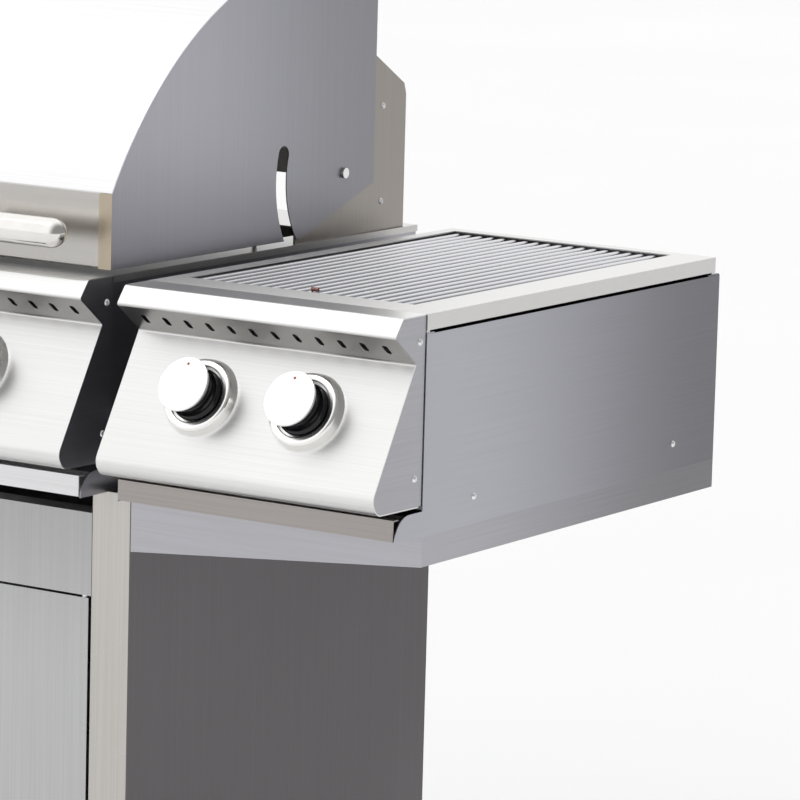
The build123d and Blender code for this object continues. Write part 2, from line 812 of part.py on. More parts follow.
bar_y = front + hood_front - handle_out + handle_radius / 2
bar_z2 = height(-handle_rise)
bar = rod((-handle_half, bar_y, bar_z2), (1, 0, 0), handle_radius, 2 * handle_half)
bar = fillet(bar.edges(), handle_radius * 0.85)
posts = []
for side in (-1, 1):
    x = side * handle_post_x
    length = front + hood_front + 0.1 - bar_y - handle_radius
    stud = rod((x, bar_y + handle_radius - 1.5, bar_z2), (0, 1, 0), handle_post, length + 1.5)
    bar -= rod((x, bar_y + handle_radius - 3, bar_z2), (0, 1, 0), handle_post + 0.02, 6)
    posts.append(stud - rod((-handle_half, bar_y, bar_z2), (1, 0, 0), handle_radius - 3.02, 2 * handle_half))
write("hood_handle", bar, *posts)

dial_y = hood_arc_centre[0] - sqrt(hood_arc_radius**2 - (dial_rise - hood_arc_centre[1]) ** 2)
dial_seat = Vector(0, front + dial_y, height(-dial_rise))
dial_axis = Vector(0, dial_y - hood_arc_centre[0], dial_rise - hood_arc_centre[1]).normalized()
dial = rod(dial_seat - dial_axis * 0.6, dial_axis, dial_radius, 12)
dial -= rod(dial_seat + dial_axis * 8, dial_axis, dial_radius - 4, 10)
dial -= rod(dial_seat - dial_axis * 5, dial_axis, dial_radius - 10, 5.4)
probe = rod(dial_seat - dial_axis * 60, dial_axis, 3, 62)
shell_hole = rod(dial_seat - dial_axis * 10, dial_axis, 3.2, 12)
write("hood_thermometer", (dial - across(hood_face(0, hood_back, hood_low), -60, 60)) + probe)
write("hood_shell", shell - shell_hole)

# ---------------------------------------------------------------- control panels
panel_end = half_head - 0.1
main_panel = control_panel(-panel_end, panel_end, main_knob_x)
write("main_control_panel", main_panel)
side_panel_x = (side_left + panel_end_setback, side_right - panel_end_setback)
side_panel = control_panel(*side_panel_x, side_knob_x)
write("side_control_panel", side_panel)

caps = []
cap_ends = [
    (-panel_end, -panel_end + sheet, -1),
    (panel_end - sheet, panel_end, 1),
    (side_panel_x[0], side_panel_x[0] + sheet, -1),
    (side_panel_x[1] - sheet, side_panel_x[1], 1),
]
screws = []
for x0, x1, side in cap_ends:
    cap = end_cap(x0, x1)
    for y, drop in cap_screws:
        cap -= screw_hole(x0, y, drop)
        screws.append(screw(x1 if side > 0 else x0, y, drop, side))
    caps.append(cap)
write("panel_end_caps", *caps)

bezels = []
knob_places = main_knob_x + side_knob_x
for x in knob_places:
    base = Plane(origin=face_point(x, 0.02), z_dir=knob_axis)
    ring = base * Cone(bezel_outer, bezel_rim, bezel_height, align=(Align.CENTER, Align.CENTER, Align.MIN))
    ring = fillet(ring.edges().filter_by(GeomType.CIRCLE).sort_by(SortBy.RADIUS)[0], 2.5)
    ring -= rod(face_point(x, -1), knob_axis, bezel_inner, bezel_height + 5)
    bezels.append(ring)
write("knob_bezels", *bezels)

valves = []
for number, x in enumerate(knob_places):
    name = f"{number + 1}"
    stem_length = valve_depth[0] + stem_engage + stem_reach
    stem = rod(face_point(x, -valve_depth[0] - stem_engage), knob_axis, stem_radius, stem_length)
    write(f"valve_stem_{name}", stem)
    grip_body = Plane(origin=face_point(x, knob_base), z_dir=knob_axis)
    low_align = (Align.CENTER, Align.CENTER, Align.MIN)
    grip_length = knob_height - knob_cap[1] - knob_base
    knob = grip_body * Cylinder(knob_skirt[0], knob_skirt[1], align=low_align)
    knob += grip_body * Cylinder(knob_body_radius, grip_length, align=low_align)
    knob -= rod(face_point(x, knob_base - 1), knob_axis, stem_radius + fit_gap, stem_reach - knob_base + 1.5)
    disc = rod(face_point(x, knob_height - knob_cap[1]), knob_axis, knob_cap[0], knob_cap[1])
    disc = fillet(disc.edges(), 2.0)
    write(f"knob_{name}", knob, disc)
    valve = rod(face_point(x, -valve_depth[0]), -knob_axis, valve_radius, valve_depth[1] - valve_depth[0])
    outlet_y = front + 16
    valve += rod((x, front - 18, height(nozzle_drop)), (0, 1, 0), nozzle_radius, outlet_y - front + 18)
    drop_z = manifold_z + rail_radius - 1.5
    valve += rod((x, front + manifold_back, drop_z), (0, 0, 1), 5, height(nozzle_drop) - drop_z)
    bore_depth = stem_engage + knob_push + 2
    valve -= rod(face_point(x, -valve_depth[0] + 1), -knob_axis, stem_radius + fit_gap, bore_depth)
    valves.append(valve)

# ---------------------------------------------------------------- gas pipes
rail_y = front + manifold_back
side_pipe = FilletPolyline(
    (link_x - pipe_lead, rail_y, manifold_z),
    (link_x, rail_y, manifold_z),
    (link_x, front + link_y, manifold_z),
    (side_link_x, front + link_y, manifold_z),
    (side_link_x, rail_y, manifold_z),
    (side_link_x + pipe_lead, rail_y, manifold_z),
    radius=[9, 14, 14, 9],
)
start_plane = Plane(origin=side_pipe @ 0, z_dir=side_pipe % 0)
link = sweep(start_plane * Circle(side_pipe_radius), path=side_pipe)
rail_start = inlet_x - rail_end
rail_main = rod(
    (rail_start, rail_y, manifold_z), (1, 0, 0), rail_radius, link_x - pipe_lead - rail_start
)
side_rail_start = side_link_x + pipe_lead
rail_side = rod(
    (side_rail_start, rail_y, manifold_z), (1, 0, 0), rail_radius,
    side_knob_x[1] + 30 - side_rail_start,
)
spigot_y = front + head_depth + inlet_reach - inlet_length
inlet = rod((inlet_x, rail_y, manifold_z), (0, 1, 0), inlet_pipe_radius, spigot_y - rail_y + 1)
spigot = rod((inlet_x, spigot_y, manifold_z), (0, 1, 0), inlet_radius, inlet_length)
nut_plane = Plane(origin=(inlet_x, front + head_depth - 10, manifold_z), z_dir=(0, 1, 0))
nut = extrude(nut_plane * RegularPolygon(13, 6), amount=7)
write("gas_manifold", rail_main + inlet + spigot + nut, link, rail_side)
write("gas_valves", *[valve - [rail_main, rail_side] for valve in valves])

# ---------------------------------------------------------------- side burner
side_box = burner_box(side_left, side_right, shelf_depth, side_skin_drop, side_box_height, sheet, 14.0)
ledge_z = (height(side_skin_drop), height(side_skin_drop - sheet))
for ledge_y in (
    (front + side_frame_depth - ledge_depth, front + shelf_depth - 0.3),
    (front + 0.3, front + ledge_depth),
):
    side_box += block((side_left + 0.5, side_right - 0.5), ledge_y, ledge_z)
for x in side_knob_x:
    side_box -= rod((x, front - 5, height(nozzle_drop)), (0, 1, 0), venturi_radius + 5, 12)
side_box -= rod((side_link_x, front - 5, manifold_z), (0, 1, 0), side_pipe_radius + 3, 12)
side_box -= rod((side_left - 5, front + link_y, manifold_z), (1, 0, 0), side_pipe_radius + 3, 12)
for y, drop in box_screws:
    side_box -= screw_hole(side_right, y, drop)
    screws.append(screw(side_right, y, drop, 1))
write("side_burner_box", side_box)

open_x = (side_left + side_margin_x[0], side_right - side_margin_x[1])
open_y = (front + side_margin_y[0], front + side_frame_depth - side_margin_y[1])
frame_low = height(side_frame_drop)
top_frame = block(
    (side_left, side_right), (front + 0.2, front + side_frame_depth), (frame_low, counter_height)
)
top_frame -= block(
    (side_left + sheet, side_right - sheet),
    (front + 0.2 + sheet, front + side_frame_depth - sheet),
    (frame_low - 1, height(sheet)),
)
for y in (front + 0.2, front + side_frame_depth - 6):
    top_frame += block((side_left + 1, side_right - 1), (y, y + 6), (ledge_z[1], frame_low + 1))
top_frame -= block(open_x, open_y, (height(5), counter_height + 1))
write("side_burner_frame", top_frame)

bowl_top = height(sheet + 0.1)
bowl_x = (open_x[0] - 1, open_x[1] + 1)
bowl_y = (open_y[0] - 1, open_y[1] + 1)
bowl = block(
    (bowl_x[0] - 1, bowl_x[1] + 1), (bowl_y[0] - 1, bowl_y[1] + 1), (height(bowl_depth), bowl_top)
)
bowl += block((bowl_x[0] - 9, bowl_x[1] + 9), (bowl_y[0] - 9, bowl_y[1] + 9), (bowl_top - 1, bowl_top))
bowl -= block(bowl_x, bowl_y, (height(bowl_depth) + 1, bowl_top + 1))
side_rod_z = height(2 + side_grate_rod)
side_low_z = side_rod_z - 2 * side_grate_rod + 0.5
rest_z = (side_low_z - side_grate_rod - 1.2, side_low_z - side_grate_rod - 0.1)
for x in (bowl_x[0] - 0.5, bowl_x[1] - 8):
    bowl += block((x, x + 8.5), (bowl_y[0] - 0.5, bowl_y[1] + 0.5), rest_z)
tube_z = height(bowl_depth) + 1 + venturi_radius + 6
for x in side_knob_x:
    bowl -= rod((x, bowl_y[0] - 5, tube_z), (0, 1, 0), venturi_radius + 0.1, 10)
centre_x = (open_x[0] + open_x[1]) / 2
drain = (centre_x, (open_y[0] + open_y[1]) / 2, height(bowl_depth) - 5)
bowl -= rod(drain, (0, 0, 1), 9, 12)
write("side_burner_bowl", bowl)

heads = []
head_x = side_knob_x[1] - side_head_inset
for x, y in zip(side_knob_x, side_head_y):
    head_y = front + y
    low = height(bowl_depth) + 1.02
    body_z = low + side_head_foot[1]
    cap_z = body_z + side_head_height
    foot_radius = side_head_radius - side_head_foot[0]
    pot = rod((head_x, head_y, low), (0, 0, 1), foot_radius, side_head_foot[1])
    pot += rod((head_x, head_y, body_z), (0, 0, 1), side_head_radius, side_head_height)
    pot += rod((head_x, head_y, cap_z), (0, 0, 1), side_head_radius - side_head_cap[0], side_head_cap[1])
    bend_y = head_y - side_head_radius - 22
    path = FilletPolyline(
        (x, front + 8, tube_z),
        (x, bend_y - 34, tube_z),
        (head_x, bend_y, tube_z),
        (head_x, head_y - 20, tube_z),
        radius=[12, 12],
    )
    feed = sweep(Plane(origin=path @ 0, z_dir=path % 0) * Circle(venturi_radius), path=path)
    feed -= rod((x, front + 7, tube_z), (0, 1, 0), venturi_radius - 1.5, 24)
    heads.append(pot + feed)
igniter_y = bowl_y[0] + 16
igniter = rod((head_x + 8, igniter_y, height(bowl_depth) + 1.02), (0, 0, 1), 4, bowl_depth - 26)
write("side_burner_heads", *heads, igniter)

side_ends = (bowl_y[0] + 1.5, bowl_y[1] - 1.5)
rod_x = spread(bowl_x[0] + 7, bowl_x[1] - 7, side_grate_rods)
side_grate = bars(rod_x, side_ends, side_rod_z, side_grate_rod)
for y in (side_ends[0] + 9, (side_ends[0] + side_ends[1]) / 2, side_ends[1] - 9):
    side_grate += bar_across((bowl_x[0] + 1.5, bowl_x[1] - 1.5), y, side_low_z, side_grate_rod)
write("side_burner_grate", side_grate)

# ---------------------------------------------------------------- drip trays
tray_side_gap = 0.6
tray_half = head_wall - sheet - tray_side_gap
tray = drip_tray(-tray_half, tray_half, head_height, head_depth - 20)
write("main_drip_tray", tray)
side_tray = drip_tray(
    side_left + sheet + tray_side_gap, side_right - sheet - tray_side_gap, side_box_height, shelf_depth - 24
)
write("side_drip_tray", side_tray)

for side in (-1, 1):
    for y, rise in bracket_screw_at:
        screws.append(screw(side * bracket_outer, y, -rise, side))
write("screws", *screws)

# ---------------------------------------------------------------- casters
plate_x, plate_y, plate_z = caster_plate
swivels = []
rigid_forks = []
axle_z = wheel_radius


def fork(x, y, trail):
    """Crown, two legs and the axle; the wheel trails behind the crown."""
    axle_y = y + trail
    reach = leg_gap + leg_thick
    crown = block((x - reach, x + reach), (y - 26, y + 26), (fork_top - fork_thick, fork_top))
    legs = [
        (y - 26, fork_top), (y - 26, fork_top - 22), (axle_y - 9, axle_z - 9),
        (axle_y + 9, axle_z - 9), (y + 26, fork_top - 22), (y + 26, fork_top),
    ]
    shape = crown
    for side in (-1, 1):
        x0 = x + side * leg_gap
        x1 = x + side * (leg_gap + leg_thick)
        shape += across(legs, min(x0, x1), max(x0, x1))
    shape += rod((x - reach - 2, axle_y, axle_z), (1, 0, 0), axle_radius, 2 * reach + 4)
    return shape


def wheel(x, y):
    """A tyre and hub with a bore that runs on the axle."""
    disc = rod((x - wheel_width / 2, y, axle_z), (1, 0, 0), wheel_radius, wheel_width)
    disc = fillet(disc.edges(), 5)
    disc += rod((x - leg_gap + 0.5, y, axle_z), (1, 0, 0), 12, 2 * leg_gap - 1)
    return disc - rod((x - 30, y, axle_z), (1, 0, 0), axle_radius + fit_gap, 60)


caster_x = half_cart - caster_inset
front_y = front + 62
rear_y = front + cart_depth - 56
for side, label in ((-1, "left"), (1, "right")):
    x = side * caster_x
    top = cart_clearance - 0.02
    plate_sides = (x - plate_x / 2, x + plate_x / 2)
    mount = block(
        plate_sides, (front_y - plate_y / 2, front_y + plate_y / 2), (top - plate_z, top)
    )
    race_low = fork_top + 0.5
    mount += rod((x, front_y, race_low), (0, 0, 1), race_radius, top - plate_z - race_low + 0.5)
    mount -= rod((x, front_y, race_low - 1), (0, 0, 1), kingpin_radius + fit_gap, 8)
    swivels.append(mount)
    swivel = fork(x, front_y, caster_trail)
    swivel += rod((x, front_y, fork_top - 1), (0, 0, 1), kingpin_radius, 6.5)
    lever_y = front_y - 20
    lever_z = fork_top - 13
    swivel += rod(
        (x - leg_gap - leg_thick, lever_y, lever_z), (1, 0, 0), lever_pin_radius,
        2 * (leg_gap + leg_thick),
    )
    write(f"caster_fork_{label}", swivel)
    write(f"caster_wheel_{label}", wheel(x, front_y + caster_trail))
    lever = rod((x - 15, lever_y, lever_z), (1, 0, 0), 4.6, 30)
    lever += block((x - 15, x + 15), (lever_y - 34, lever_y - 3), (lever_z - 0.5, lever_z + 3.5))
    lever -= rod((x - 20, lever_y, lever_z), (1, 0, 0), lever_pin_radius + fit_gap, 40)
    write(f"brake_lever_{label}", lever)
    rigid = fork(x, rear_y, 0.0)
    rigid += block((x - 19, x + 19), (rear_y - 26, rear_y + 26), (fork_top - 0.5, top))
    rigid += block(
        plate_sides, (rear_y - plate_y / 2, rear_y + plate_y / 2), (top - plate_z, top)
    )
    rigid_forks.append(rigid)
    write(f"rear_wheel_{label}", wheel(x, rear_y))
write("caster_mounts", *swivels, *rigid_forks)
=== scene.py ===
import json
from math import cos, pi, radians, sin, sqrt

import bmesh
import bpy
import numpy as np
from mathutils import Matrix, Vector


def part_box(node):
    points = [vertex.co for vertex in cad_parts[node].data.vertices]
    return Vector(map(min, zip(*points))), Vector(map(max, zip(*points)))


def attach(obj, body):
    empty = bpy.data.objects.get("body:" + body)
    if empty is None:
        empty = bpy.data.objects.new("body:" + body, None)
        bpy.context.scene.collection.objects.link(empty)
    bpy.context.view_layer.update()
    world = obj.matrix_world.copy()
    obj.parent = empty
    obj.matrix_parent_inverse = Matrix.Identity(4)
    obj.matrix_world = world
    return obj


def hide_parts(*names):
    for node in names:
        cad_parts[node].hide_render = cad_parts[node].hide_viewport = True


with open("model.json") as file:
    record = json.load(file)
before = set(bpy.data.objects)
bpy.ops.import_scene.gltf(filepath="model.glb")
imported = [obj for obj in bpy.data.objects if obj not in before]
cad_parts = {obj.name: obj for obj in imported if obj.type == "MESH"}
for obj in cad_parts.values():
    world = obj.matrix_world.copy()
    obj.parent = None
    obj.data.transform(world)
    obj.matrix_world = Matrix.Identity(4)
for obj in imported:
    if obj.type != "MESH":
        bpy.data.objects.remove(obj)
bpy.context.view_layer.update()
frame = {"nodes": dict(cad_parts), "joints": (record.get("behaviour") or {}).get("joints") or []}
nodes = frame["nodes"]
joints = {joint["name"]: joint for joint in frame["joints"]}
scene = bpy.context.scene

# ---------------------------------------------------------------- camera, light and floor
# A long lens stands to the right of the grill and looks slightly down on the side
# burner. The room is a soft white one, dimmer on the right, over a pale floor.
lens_place = Vector((3.1619, -3.9110, 1.5799))
turn_left = radians(33.226)
look_down = radians(9.498)
lean_over = radians(1.530)
lens_length = 209.4
sensor_width = 36.0
far_clip = 200.0


def placed(name, data):
    """A new object, linked into the scene."""
    thing = bpy.data.objects.new(name, data)
    scene.collection.objects.link(thing)
    return thing


forward = Vector((-sin(turn_left) * cos(look_down), cos(turn_left) * cos(look_down), -sin(look_down)))
level_right = Vector((cos(turn_left), sin(turn_left), 0.0))
level_up = level_right.cross(forward)
right = cos(lean_over) * level_right + sin(lean_over) * level_up
up = cos(lean_over) * level_up - sin(lean_over) * level_right
lens = bpy.data.cameras.new("camera")
lens.lens = lens_length
lens.sensor_width = sensor_width
lens.clip_end = far_clip
camera = placed("camera", lens)
camera.matrix_world = Matrix.Translation(lens_place) @ Matrix((right, up, -forward)).transposed().to_4x4()
scene.camera = camera
scene.view_settings.view_transform = "Standard"

# The room's light falls from bright to dim where its direction's X part passes between two values.
room_bright = 1.16
room_dim = 0.30
bright_until = -0.05
dim_from = 0.62
room = bpy.data.worlds.new("white_room")
room.use_nodes = True
scene.world = room
air = room.node_tree
air.nodes["Background"].inputs["Color"].default_value = (1.0, 1.0, 1.0, 1.0)
direction = air.nodes.new("ShaderNodeTexCoord")
split = air.nodes.new("ShaderNodeSeparateXYZ")
fall_off = air.nodes.new("ShaderNodeMapRange")
fall_off.interpolation_type = "SMOOTHSTEP"
fall_off.inputs["From Min"].default_value = bright_until
fall_off.inputs["From Max"].default_value = dim_from
fall_off.inputs["To Min"].default_value = room_bright
fall_off.inputs["To Max"].default_value = room_dim
air.links.new(direction.outputs["Generated"], split.inputs[0])
air.links.new(split.outputs["X"], fall_off.inputs["Value"])
air.links.new(fall_off.outputs["Result"], air.nodes["Background"].inputs["Strength"])

key = bpy.data.lights.new("key", "SUN")
key.energy = 0.5
key.angle = radians(32)
key_direction = Vector((0.45, 0.35, -1.3))
placed("key", key).rotation_euler = key_direction.to_track_quat("-Z", "Y").to_euler()


# Most of a cloud's values lie between these two.
cloud_low = 0.3
cloud_high = 0.7
bump_strength = 0.6


def surface(name, **sockets):
    """A new material. Values that are the same all over are set on the shader's own sockets."""
    material = bpy.data.materials.new(name)
    material.use_nodes = True
    shader = material.node_tree.nodes["Principled BSDF"]
    for socket, value in sockets.items():
        shader.inputs[socket.replace("_", " ")].default_value = value
    return material, material.node_tree, shader


def noise(tree, stretch, detail=3.0, place=(0.0, 0.0, 0.0)):
    """Cloudy values from 0 to 1 on Object coordinates; stretch gives the waves per metre along X, Y and Z."""
    coordinates = tree.nodes.new("ShaderNodeTexCoord")
    mapping = tree.nodes.new("ShaderNodeMapping")
    mapping.inputs["Scale"].default_value = stretch
    mapping.inputs["Location"].default_value = place
    cloud = tree.nodes.new("ShaderNodeTexNoise")
    cloud.inputs["Scale"].default_value = 1.0
    cloud.inputs["Detail"].default_value = detail
    tree.links.new(coordinates.outputs["Object"], mapping.inputs["Vector"])
    tree.links.new(mapping.outputs["Vector"], cloud.inputs["Vector"])
    return cloud.outputs["Fac"]


def tinted(tree, shader, value, *stops):
    """Base colour from a value, by two stops of (value, red, green, blue)."""
    ramp = tree.nodes.new("ShaderNodeValToRGB")
    for element, stop in zip(ramp.color_ramp.elements, stops):
        element.position = stop[0]
        element.color = (*stop[1:], 1.0)
    tree.links.new(value, ramp.inputs["Fac"])
    tree.links.new(ramp.outputs["Color"], shader.inputs["Base Color"])


def ranged(tree, shader, value, socket, low, high):
    """A socket that runs from low to high over the middle of a noise."""
    spread = tree.nodes.new("ShaderNodeMapRange")
    spread.inputs["From Min"].default_value = cloud_low
    spread.inputs["From Max"].default_value = cloud_high
    spread.inputs["To Min"].default_value = low
    spread.inputs["To Max"].default_value = high
    tree.links.new(value, spread.inputs["Value"])
    tree.links.new(spread.outputs["Result"], shader.inputs[socket])


def relief(tree, shader, value, depth):
    """Small hills and hollows from a value, by a bump of depth metres at part strength."""
    bump = tree.nodes.new("ShaderNodeBump")
    bump.inputs["Strength"].default_value = bump_strength
    bump.inputs["Distance"].default_value = depth
    tree.links.new(value, bump.inputs["Height"])
    tree.links.new(bump.outputs["Normal"], shader.inputs["Normal"])


def painted(name, grain, dark, light, hills=0, depth=0.0, detail=3.0, light_from=cloud_high, **sockets):
    """Paint, plastic or rubber: clouds of two tints, and hills of a depth in metres. Grain and hills are
    in waves per metre, and the light tint is full from one value of the clouds."""
    material, tree, shader = surface(name, **sockets)
    tinted(tree, shader, noise(tree, (grain,) * 3, detail), (cloud_low, *dark), (light_from, *light))
    if hills:
        relief(tree, shader, noise(tree, (hills,) * 3), depth)
    return material


floor_reach = 60.0
floor_mesh = bpy.data.meshes.new("floor")
corners = np.array([(-1, -1, 0), (1, -1, 0), (1, 1, 0), (-1, 1, 0)]) * (floor_reach, floor_reach, 0)
floor_mesh.from_pydata(corners.tolist(), [], [(0, 1, 2, 3)])
floor = placed("floor", floor_mesh)
pale_floor = painted("pale_floor", 0.7, (0.93, 0.93, 0.93), (0.95, 0.95, 0.948), Roughness=0.7)
floor_mesh.materials.append(pale_floor)

# ---------------------------------------------------------------- brushed sheet of the cart
# Side panels, back and front posts are stainless sheet, brushed upright. The side
# panels have a dark base colour, a painted shade for the shadow under the side shelves.


def along(tree, axis):
    """The place along one of an object's own axes, in metres."""
    coordinates = tree.nodes.new("ShaderNodeTexCoord")
    split = tree.nodes.new("ShaderNodeSeparateXYZ")
    tree.links.new(coordinates.outputs["Object"], split.inputs[0])
    return split.outputs["XYZ".index(axis)]


def multiplied(tree, shader, share):
    """Multiplies the base colour that a shader already has by the value of a socket."""
    product = tree.nodes.new("ShaderNodeVectorMath")
    product.operation = "MULTIPLY"
    tree.links.new(shader.inputs["Base Color"].links[0].from_socket, product.inputs[0])
    tree.links.new(share, product.inputs[1])
    tree.links.new(product.outputs[0], shader.inputs["Base Color"])


def brushed_steel(name, tint, waves, rough=(0.26, 0.38), contrast=0.05, depth=0.00002, shade=None):
    """Stainless sheet: fine scratches that run along the axis with the fewest waves over faint wide
    clouds. The last argument is (axis, from, to, share) for a painted shade: the sheet darkens evenly along an
    axis, in metres."""
    material, tree, shader = surface(name, Metallic=1.0)
    fine = noise(tree, waves, 4.0)
    broad = noise(tree, (2.2, 2.2, 2.2), 1.0, (3.0, 5.0, 7.0))
    both = tree.nodes.new("ShaderNodeMix")
    both.inputs["Factor"].default_value = 0.3
    tree.links.new(fine, both.inputs["A"])
    tree.links.new(broad, both.inputs["B"])
    mixed = both.outputs["Result"]
    dark = [c * (1 - contrast) for c in tint]
    light = [min(1.0, c * (1 + contrast)) for c in tint]
    tinted(tree, shader, mixed, (0.36, *dark), (0.64, *light))
    ranged(tree, shader, broad, "Roughness", *rough)
    relief(tree, shader, fine, depth)
    if shade:
        darkened(tree, shader, *shade)
    return material


def darkened(tree, shader, axis, start, stop, share):
    """Paints shade: multiplies the base colour by 1 at start and by share at stop, smoothly, along an object
    axis.
    """
    fall = tree.nodes.new("ShaderNodeMapRange")
    fall.interpolation_type = "SMOOTHSTEP"
    fall.inputs["From Min"].default_value = start
    fall.inputs["From Max"].default_value = stop
    fall.inputs["To Min"].default_value = 1.0
    fall.inputs["To Max"].default_value = share
    tree.links.new(along(tree, axis), fall.inputs["Value"])
    multiplied(tree, shader, fall.outputs["Result"])


def banded(material, axis, low, high, share, soft=0.0015):
    """Multiplies the base colour by share (red, green, blue) between two places on an axis, in metres."""
    tree = material.node_tree
    from_middle = tree.nodes.new("ShaderNodeMath")
    from_middle.operation = "SUBTRACT"
    from_middle.inputs[1].default_value = (low + high) / 2
    distance = tree.nodes.new("ShaderNodeMath")
    distance.operation = "ABSOLUTE"
    edge = tree.nodes.new("ShaderNodeMapRange")
    edge.inputs["From Min"].default_value = (high - low) / 2 - soft
    edge.inputs["From Max"].default_value = (high - low) / 2 + soft
    ramp = tree.nodes.new("ShaderNodeValToRGB")
    for element, colour in zip(ramp.color_ramp.elements, (share, (1.0, 1.0, 1.0))):
        element.color = (*colour, 1.0)
    tree.links.new(along(tree, axis), from_middle.inputs[0])
    tree.links.new(from_middle.outputs[0], distance.inputs[0])
    tree.links.new(distance.outputs[0], edge.inputs["Value"])
    tree.links.new(edge.outputs["Result"], ramp.inputs["Fac"])
    multiplied(tree, tree.nodes["Principled BSDF"], ramp.outputs["Color"])


def dress(material, *names):
    """Puts a material on the slots of CAD nodes."""
    for name in names:
        for slot in nodes[name].material_slots:
            slot.material = material


# Waves per metre along X, Y and Z for scratches that run up, along X, and level along X and Y.
upright = (700.0, 700.0, 4.0)
lengthwise = (4.0, 700.0, 700.0)
level = (5.0, 5.0, 700.0)
# The side panels' dark tint is a painted shade.
side_panel_painted_shade = brushed_steel("side_panel_painted_shade", (0.135, 0.128, 0.133), upright, (0.34, 0.46))
post_sheet = brushed_steel("post_sheet", (0.53, 0.51, 0.48), upright)
back_sheet = brushed_steel("back_sheet", (0.48, 0.48, 0.49), upright)
dress(side_panel_painted_shade, "cart_side_panels")
dress(post_sheet, "cart_posts")
dress(back_sheet, "cart_back_panel")

# The upper fascia and the two doors are brushed upright too, and their colour darkens a
# little towards their top, a painted shade. The cart floor is brushed from side to side.
front_sheet = brushed_steel("front_sheet", (0.50, 0.50, 0.505), upright, shade=("Z", 0.50, 0.72, 0.80))
deck_sheet = brushed_steel("deck_sheet", (0.46, 0.46, 0.47), lengthwise, (0.34, 0.46))
dress(front_sheet, "cart_fascia", "door_left", "door_right")
dress(deck_sheet, "cart_floor")

# ---------------------------------------------------------------- casters
# Two swivel casters with brakes in front and two fixed ones behind: zinc plated
# forks, grey hubs and rubber tyres with three grooves.


def eased(corners, ease, steps=6, closed=False):
    """Softens an outline: at corner C a curve (1-s)^2 A + 2s(1-s) C + s^2 B leaves one side at A and joins
    the next at B, both `ease` from C or a little under half of the side."""
    c = np.array(corners, float)
    before = np.roll(c, 1, axis=0) - c
    after = np.roll(c, -1, axis=0) - c
    reach = np.broadcast_to(np.array(ease, float), len(c)).copy()
    if not closed:
        reach[[0, -1]] = 0.0
    sides = [np.linalg.norm(side, axis=1) for side in (before, after)]
    reach = np.minimum(reach, 0.49 * np.minimum(*sides))[:, None]
    a = c + before / sides[0][:, None] * reach
    b = c + after / sides[1][:, None] * reach
    s = np.linspace(0, 1, steps)[None, :, None]
    curve = (1 - s) ** 2 * a[:, None] + 2 * s * (1 - s) * c[:, None] + s**2 * b[:, None]
    return curve.reshape(-1, c.shape[1])


def turned(profile, seat, axis, around=64):
    """A turned shape: profile point (r, h) goes to seat + h axis + r (cos t u + sin t v), once around."""
    axis = np.array(axis, float) / np.linalg.norm(axis)
    other = np.array((1.0, 0, 0)) if abs(axis[0]) < 0.9 else np.array((0, 1.0, 0))
    u = np.cross(axis, other)
    u /= np.linalg.norm(u)
    v = np.cross(axis, u)
    t = np.linspace(0, 2 * pi, around, endpoint=False)
    circle = np.cos(t)[:, None] * u + np.sin(t)[:, None] * v
    r, h = np.array(profile, float).T
    return np.array(seat) + h[:, None, None] * axis + r[:, None, None] * circle


same_place = 1e-6
sharp_angle = radians(32)


def made(name, material, *grids, ring=False):
    """One mesh of grids of points, each closed across its columns, and from its last row to its first
    where it is a ring. Points at one place are merged, faces are turned outwards, and the shading is
    smooth except over edges sharper than an angle."""
    points, quads, start = [], [], 0
    for grid in grids:
        rows, columns = grid.shape[:2]
        i = np.arange(rows if ring else rows - 1)[:, None]
        j = np.arange(columns)[None, :]
        i2 = (i + 1) % rows
        j2 = (j + 1) % columns
        quad = np.stack([i * columns + j, i * columns + j2, i2 * columns + j2, i2 * columns + j], axis=-1)
        quads.append(quad.reshape(-1, 4) + start)
        points.append(grid.reshape(-1, 3))
        start += rows * columns
    mesh = bpy.data.meshes.new(name)
    mesh.from_pydata(np.concatenate(points).tolist(), [], np.concatenate(quads).tolist())
    solid = bmesh.new()
    solid.from_mesh(mesh)
    bmesh.ops.remove_doubles(solid, verts=solid.verts, dist=same_place)
    bmesh.ops.recalc_face_normals(solid, faces=solid.faces)
    solid.to_mesh(mesh)
    solid.free()
    mesh.shade_smooth()
    mesh.set_sharp_from_angle(angle=sharp_angle)
    mesh.materials.append(material)
    return placed(name, mesh)


tyre_radius = 0.045
tyre_half = 0.013
rim_radius = 0.031
groove = 0.0012
groove_places = (-0.006, 0.0, 0.006)
bevel = 0.004
tyre_side = [
    (rim_radius, -tyre_half + 0.002), (rim_radius + bevel, -tyre_half), (tyre_radius - bevel, -tyre_half),
]
tread = [(tyre_radius, -tyre_half + bevel)]
for middle in groove_places:
    tread += [
        (tyre_radius, middle - groove), (tyre_radius - groove, middle - groove * 0.6),
        (tyre_radius - groove, middle + groove * 0.6), (tyre_radius, middle + groove),
    ]
tread += [(tyre_radius, tyre_half - bevel)]
tyre_profile = tyre_side + tread + [(r, -h) for r, h in tyre_side[::-1]]
hub_side = [
    (0.0052, -0.0165), (0.012, -0.0165), (0.012, -0.0125), (0.0165, -0.0115), (0.0175, -0.006), (0.026, -0.006),
    (0.0285, -0.0105), (0.0312, -0.0108),
]
hub_profile = hub_side + [(r, -h) for r, h in hub_side[::-1]]
rubber = painted(
    "tyre_rubber", 60, (0.020, 0.020, 0.021), (0.075, 0.073, 0.070), 900, 0.0002,
    detail=6.0, light_from=0.75, Roughness=0.62,
)
hub_plastic = painted(
    "hub_plastic", 90, (0.22, 0.22, 0.23), (0.30, 0.30, 0.31), 1500, 0.0001, detail=4.0, Roughness=0.42
)
